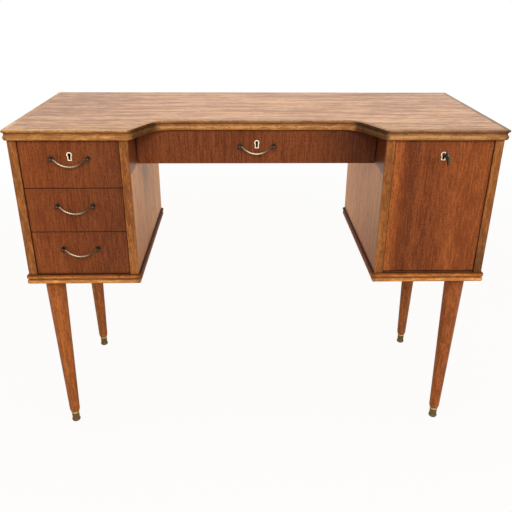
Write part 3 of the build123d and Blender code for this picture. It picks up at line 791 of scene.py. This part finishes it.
# %% Metal finishes
metal_rounding, metal_reach = 0.0005, 0.004
tarnish_noise = {"scale": (140.0, 140.0, 140.0), "detail": 4.0, "roughness": 0.6}
tarnish_limits = 0.32, 0.68
tarnish_hollows = 0.1, 0.8
full_tarnish = 1.1
edge_shine = 0.35
tarnish_off_paler = 0.85
scratch_noise = {"scale": (500.0, 2600.0, 2600.0), "roughness": 0.6}
scratch_strength, scratch_depth = 0.2, 0.00004
tarnish_rough, scratch_rough = 0.16, 0.08
# The bows' paler place is shifted left of the middle as a painted highlight.
highlight_offset = 0.007
paler_reach = 0.008, 0.034
lip_drop = 0.0035, 0.0022
ferrule_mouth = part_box("leg_ferrules")[1].z
left_bow_x = sum(v.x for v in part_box("upper_drawer_bail")) / 2


def metal(name, bright, dull, rough, spots, paler_places=None):
    """A metal with tarnish in its hollows and in clouds, bright edges, and the paler places a
    caller gives.
    """
    material, sheet = start_material(name)
    place = object_place(sheet)
    edge, hollow, soft = wear_and_hollows(sheet, metal_rounding, metal_reach)
    clouds = place.noise(**tarnish_noise).between(*tarnish_limits)
    scratches = place.noise(**scratch_noise)
    stains = clouds * spots + hollow.between(*tarnish_hollows)
    tarnish = stains.between(0.0, full_tarnish) - edge * edge_shine
    if paler_places:
        tarnish = tarnish.largest(tarnish_off_paler) - paler_places(place) * tarnish_off_paler
    relief = {"Strength": scratch_strength, "Distance": scratch_depth}
    relief |= {"Height": scratches, "Normal": soft}
    values = {"Base Color": tarnish.mix(bright, dull), "Metallic": 1.0}
    values["Roughness"] = rough + tarnish * tarnish_rough + scratches * scratch_rough
    values["Normal"] = sheet.node("ShaderNodeBump", {}, relief)
    end_material(sheet, values)
    return material


def bow_rub_and_highlight(x):
    """1 on a handle's bow, left of its middle: partly where fingers polish it, partly a painted
    highlight.
    """
    return lambda place: place.part(0).near(x - highlight_offset, *paler_reach)


def ferrule_lip(place):
    """1 on the lip at the mouth of a ferrule."""
    return place.part(2).between(*[ferrule_mouth - drop for drop in lip_drop])


bow_brass = (0.43, 0.375, 0.265), (0.050, 0.040, 0.026), 0.22, 0.5
metals = {
    "left_bow_brass": (*bow_brass, bow_rub_and_highlight(left_bow_x)),
    "centre_bow_brass": (*bow_brass, bow_rub_and_highlight(0.0)),
    "handle_brass": ((0.085, 0.070, 0.050), (0.020, 0.016, 0.011), 0.36, 0.5),
    "foot_brass": ((0.72, 0.56, 0.30), (0.115, 0.086, 0.040), 0.34, 0.45, ferrule_lip),
    "steel": ((0.50, 0.49, 0.47), (0.22, 0.19, 0.16), 0.35, 0.4),
    # Nearly black: painted shade for the inside of the keyholes.
    "lock_steel": ((0.030, 0.026, 0.022), (0.008, 0.007, 0.006), 0.55, 0.5),
    "key_steel": ((0.085, 0.080, 0.078), (0.026, 0.023, 0.021), 0.40, 0.4),
}
finishes |= {name: metal(name, *values) for name, values in metals.items()}
print(len(metals), "metal finishes")

# %% [markdown]
# ## Bone
# The keyhole plates are cream bone, a little mottled, with a black keyhole. The hole is real,
# but from the camera it is a few pixels wide, and bone's pale walls would light it up. So the
# walls, and a thin rim round the hole, get painted shade of the same shape: a round head over a
# slot. The plates' hollows get painted shade too.

# %% Bone finish
plate_nodes = ["upper_drawer_escutcheon", "centre_drawer_escutcheon", "flap_escutcheon"]
plate_radius = 0.0055
keyhole_radius = 0.0032
keyhole_half = 0.0022
keyhole_foot = 0.0019
keyhole_rim = 0.0006
keyhole_shade = (0.012, 0.008, 0.005)
bone_pale, bone_deep = (0.96, 0.87, 0.66), (0.80, 0.66, 0.44)
bone_rounding, bone_reach = 0.0004, 0.003
bone_shade_hollows = 0.12, 0.34
mottle_noise = {"scale": (260.0, 260.0, 700.0), "detail": 3.0, "roughness": 0.6}
mottle_limits = 0.35, 0.7
mottle_share = 0.3
bone_rough, mottle_rough = 0.34, 0.1


def keyhole_shade_of(place, node):
    """1 inside a plate's keyhole and on its walls, with a thin rim round it: where shade is
    painted.
    """
    low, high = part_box(node)
    foot = low.z + keyhole_foot
    aside = abs(place.part(0) - (low.x + high.x) / 2)
    above = place.part(2) - (high.z - plate_radius)
    radius = place.math("SQRT", aside * aside + above * above, 0.0)
    head = radius.below(keyhole_radius, keyhole_radius + keyhole_rim)
    height = place.part(2).between(foot - keyhole_rim, foot) * above.below(0.0, keyhole_rim)
    slot = aside.below(keyhole_half, keyhole_half + keyhole_rim) * height
    return head.largest(slot)


def bone(name):
    """Cream bone with faint mottling, and painted shade in its keyholes and hollows."""
    material, sheet = start_material(name)
    place = object_place(sheet)
    hollow, soft = wear_and_hollows(sheet, bone_rounding, bone_reach)[1:]
    mottling = place.noise(**mottle_noise).between(*mottle_limits)
    colour = (mottling * mottle_share).mix(bone_pale, bone_deep)
    dark = hollow.between(*bone_shade_hollows)
    for node in plate_nodes:
        dark = dark.largest(keyhole_shade_of(place, node))
    values = {"Base Color": dark.mix(colour, keyhole_shade), "Normal": soft}
    values["Roughness"] = mottling * mottle_rough + bone_rough
    end_material(sheet, values)
    return material


finishes["bone"] = bone("bone")
print(len(finishes), "finishes in all")

# %% [markdown]
# ## Each piece gets its finish
# The record groups nodes by material. Where one material holds pieces whose grain runs in
# different directions, or whose wear differs, the node's own name picks the finish.

# %% Assign finishes
slot_finishes = {
    "drawer_wood": "drawer_side_wood", "drawer_plywood": "drawer_back_wood",
    "brass": "handle_brass",
}
node_finishes = {
    "flap_panel": "flap_veneer", "centre_back_rail": "rail_veneer",
    "left_inner_side": "inner_side_veneer", "right_inner_side": "inner_side_veneer",
    "top_moulding": "top_moulding", "base_mouldings": "base_moulding",
    "stile_lippings": "lipping", "drawer_runners": "runner_wood",
    "leg_ferrules": "foot_brass", "centre_drawer_bail": "centre_bow_brass",
}


def finish_of(entry):
    """The finish of a node of the record."""
    name = entry["node"]
    slot = entry["material_slot"]
    if name.endswith("_drawer_back"):
        return finishes["drawer_back_wood"]
    if name.endswith("_bail") and name not in node_finishes:
        return finishes["left_bow_brass"]
    return finishes[node_finishes.get(name) or slot_finishes.get(slot, slot)]


for entry in frame["record"]["subparts"]:
    mesh = nodes[entry["node"]].data
    mesh.materials.clear()
    mesh.materials.append(finish_of(entry))

# %% [markdown]
# ## Handle bows
# A cast bow is thickest in its middle and thins towards its posts. The CAD rod has one radius,
# so each bow is remade as a tube along the same line. The line needs only its heading: level
# through the post, a bend down, a straight, the round middle, then the same mirrored. Small
# steps along that heading add up to the points.

# %% Handle bows
bow_steps = 260
bow_sides = 24
bow_slope = math.radians(47.0)
end_bend = 0.0030
middle_radius = 0.0019
end_radius = 0.0015
pin_length = 0.0104
pin_radius = 0.0013
knob_length = 0.0012
knob_radius = 0.0020
knob_rounding = 0.9


def bow_line(low, high):
    """The line's points: x and z are running sums of cos h and sin h for a heading h(s).

    Also gives how far along each point lies, and the whole length.
    """
    sag = high.z - knob_radius - low.z - middle_radius
    reach = (high.x - low.x) / 2 - pin_length
    sine, cosine = math.sin(bow_slope), math.cos(bow_slope)
    both_radii, straight = np.linalg.solve([[sine, cosine], [1.0 - cosine, sine]], [reach, sag])
    end_turn = end_bend * bow_slope
    middle_turn = 2.0 * (both_radii - end_bend) * bow_slope
    lengths = [0.0, pin_length, end_turn, straight, middle_turn, straight, end_turn, pin_length]
    headings = [0.0, 0.0, -bow_slope, -bow_slope, bow_slope, bow_slope, 0.0, 0.0]
    knots = np.cumsum(lengths)
    step = knots[-1] / bow_steps
    gone = (np.arange(bow_steps) + 0.5) * step
    heading = np.interp(gone, knots, headings)
    x = low.x + step * (np.cumsum(np.cos(heading)) - 0.5 * np.cos(heading))
    z = high.z - knob_radius + step * (np.cumsum(np.sin(heading)) - 0.5 * np.sin(heading))
    return np.stack([x, np.full_like(x, (low.y + high.y) / 2), z], axis=1), gone, knots[-1]


def bow_radii(gone, length):
    """A knob, a pin, and a rod that swells as sin^2 along the bow. The knob's end is rounded."""
    inwards = np.minimum(gone, length - gone)
    along = np.clip((gone - pin_length) / (length - 2.0 * pin_length), 0.0, 1.0)
    rod = end_radius + (middle_radius - end_radius) * np.sin(np.pi * along) ** 2
    outer = np.where(inwards < knob_length, knob_radius, pin_radius)
    radii = np.where(inwards < pin_length, outer, rod)
    to_end = np.clip(1.0 - inwards / knob_length, 0.0, 1.0)
    return radii * np.sqrt(1.0 - to_end ** 2 * knob_rounding)


def tube_mesh(name, line, radii):
    """p(s, a) = line(s) + r(s) (cos a n(s) + sin a Y), n across the line, a point at each end."""
    side = np.array([0.0, 1.0, 0.0])
    ahead = np.gradient(line, axis=0)
    across = np.cross(ahead / np.linalg.norm(ahead, axis=1, keepdims=True), side)
    angle = np.linspace(0.0, 2.0 * np.pi, bow_sides, endpoint=False)[:, None]
    outwards = np.cos(angle) * across[:, None] + np.sin(angle) * side
    rings = line[:, None] + radii[:, None, None] * outwards
    places = np.concatenate([rings.reshape(-1, 3), line[[0, -1]]])
    ring = np.arange(len(line) - 1)[:, None] * bow_sides
    here = np.arange(bow_sides)
    there = (here + 1) % bow_sides
    following = ring + bow_sides
    quads = np.stack([ring + here, following + here, following + there, ring + there], axis=-1)
    last = (len(line) - 1) * bow_sides
    start = np.stack([np.full_like(here, len(places) - 2), here, there], axis=-1)
    end = np.stack([np.full_like(here, len(places) - 1), last + there, last + here], axis=-1)
    faces = quads.reshape(-1, 4).tolist() + start.tolist() + end.tolist()
    mesh = bpy.data.meshes.new(name)
    mesh.from_pydata(places.tolist(), [], faces)
    mesh.shade_smooth()
    return mesh


def make_bow(drawer):
    """A drawer's bow, in place of the plain rod of its bail."""
    node = f"{drawer}_bail"
    line, gone, length = bow_line(*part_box(node))
    mesh = tube_mesh(f"{drawer}_bow", line, bow_radii(gone, length))
    bow = bpy.data.objects.new(f"{drawer}_bow", mesh)
    bpy.context.scene.collection.objects.link(bow)
    bow.data.materials.append(nodes[node].data.materials[0])
    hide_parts(node)
    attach(bow, node)
    return bow


drawers = ["upper_drawer", "middle_drawer", "lower_drawer", "centre_drawer"]
bows = [make_bow(drawer) for drawer in drawers]
print(len(bows), "bows of", len(bows[0].data.polygons), "faces")

# %% [markdown]
# ## Floor and backdrop
# The desk stands in a white studio. The floor is a plain pale plane that a soft shadow falls
# on. White for the camera and for reflections comes from the colour of the floor and the
# world, not from more light, so the lamps stay at the level where colours look as written.
# Light Path tells the rays apart: those of the camera, those in reflections, and the rest.

# %% Floor and backdrop
ambient = 0.40
paper_white = (1.0, 1.0, 1.0)
dark_room = 0.30
room_front = -0.5, 0.3
floor_radius = 60.0
floor_corners = 96
floor_paint, floor_patches = (0.82, 0.65, 0.50), (0.76, 0.59, 0.44)
patch_noise = {"scale": (3.0, 3.0, 3.0), "detail": 4.0}
patch_share = 0.1
near_white = 0.93
white_from = 1.0, 3.0
mirror_tint = (1.0, 0.86, 0.72)
mirror_from = 0.5, 1.8
mirror_share = 0.85


def seen_rays(sheet):
    """1 for rays from the camera, straight or through glass, and 1 for rays in reflections."""
    kinds = ["Is Camera Ray", "Is Transmission Ray", "Is Glossy Ray"]
    straight, through, glossy = [sheet.node("ShaderNodeLightPath", {}, {}, kind) for kind in kinds]
    return straight.largest(through), glossy


def make_world():
    """An even glow, seen as white by the camera, and darker in reflections of the room's front."""
    world = bpy.data.worlds.new("studio")
    world.use_nodes = True
    world.node_tree.nodes.clear()
    bpy.context.scene.world = world
    sheet = Socket(world.node_tree)
    camera_ray, mirrored = seen_rays(sheet)
    direction = sheet.node("ShaderNodeTexCoord", {}, {}, "Generated")
    behind = direction.part(1).between(*room_front)
    white = (behind * (1.0 - dark_room) + dark_room).largest(camera_ray)
    glow = sheet.node("ShaderNodeBackground", {}, {"Color": paper_white, "Strength": ambient})
    shown = sheet.node("ShaderNodeBackground", {}, {"Color": paper_white, "Strength": white})
    rays = camera_ray.largest(mirrored)
    both = sheet.node("ShaderNodeMixShader", {}, {0: rays, 1: glow, 2: shown})
    sheet.node("ShaderNodeOutputWorld", {}, {"Surface": both})


def floor_finish():
    """Warm white paint that the lamps shade, and that the camera sees as nearly white."""
    material, sheet = start_material("studio_floor")
    place = object_place(sheet)
    distance = sheet.node("ShaderNodeVectorMath", {"operation": "LENGTH"}, {0: place}, "Value")
    camera_ray, mirrored = seen_rays(sheet)
    share = distance.between(*white_from) * (1.0 - near_white) + near_white
    far = distance.between(*mirror_from) * mirror_share
    paint = (place.noise(**patch_noise) * patch_share).mix(floor_paint, floor_patches)
    matt = sheet.node("ShaderNodeBsdfDiffuse", {}, {"Color": paint})
    shown = mirrored.mix(paper_white, mirror_tint)
    white = sheet.node("ShaderNodeEmission", {}, {"Color": shown, "Strength": 1.0})
    rays = (camera_ray * share).largest(mirrored * far)
    both = sheet.node("ShaderNodeMixShader", {}, {0: rays, 1: matt, 2: white})
    sheet.node("ShaderNodeOutputMaterial", {}, {"Surface": both})
    return material


def make_floor():
    """A wide flat disc: its rim is (cos a, sin a) times the radius."""
    angles = np.linspace(0.0, 2.0 * np.pi, floor_corners, endpoint=False)
    rim = np.stack([np.cos(angles), np.sin(angles), np.zeros_like(angles)], axis=1) * floor_radius
    mesh = bpy.data.meshes.new("floor")
    mesh.from_pydata(rim.tolist(), [], [list(range(floor_corners))])
    mesh.materials.append(floor_finish())
    floor = bpy.data.objects.new("floor", mesh)
    bpy.context.scene.collection.objects.link(floor)


make_world()
make_floor()
print("floor", 2.0 * floor_radius, "m wide")

# %% [markdown]
# ## Lamps
# The light in the photograph is soft and even, a little stronger from the front. Large flat
# lamps give that: the wider a lamp, the softer its shadow. A single sun would be harder and a
# bare world flatter. The camera doesn't see the lamps, but polish and brass reflect them.

# %% Lamps
desk_middle = (0.0, 0.0, 0.5)
desk_top = (0.0, 0.0, 0.75)
lamps = {
    "front_box": ((0.2, -3.0, 2.7), desk_middle, 2.2, 1.4, 74.0),
    "left_box": ((-2.2, -2.4, 2.9), desk_middle, 1.8, 1.8, 26.0),
    "right_box": ((2.2, -2.4, 2.9), desk_middle, 1.8, 1.8, 34.0),
    "top_box": ((0.0, 0.1, 2.9), desk_top, 2.4, 1.6, 22.0),
}


def make_lamp(name, place, target, width, height, watts):
    """A soft box: a flat lamp that faces a point on the desk."""
    data = bpy.data.lights.new(name, "AREA")
    data.shape = "RECTANGLE"
    data.size = width
    data.size_y = height
    data.energy = watts
    lamp = bpy.data.objects.new(name, data)
    bpy.context.scene.collection.objects.link(lamp)
    stand = Matrix.Translation(place)
    away = stand.translation - Matrix.Translation(target).translation
    lamp.matrix_world = stand @ away.to_track_quat("Z", "Y").to_matrix().to_4x4()
    lamp.visible_camera = False


for name, settings in lamps.items():
    make_lamp(name, *settings)
print(len(lamps), "lamps")
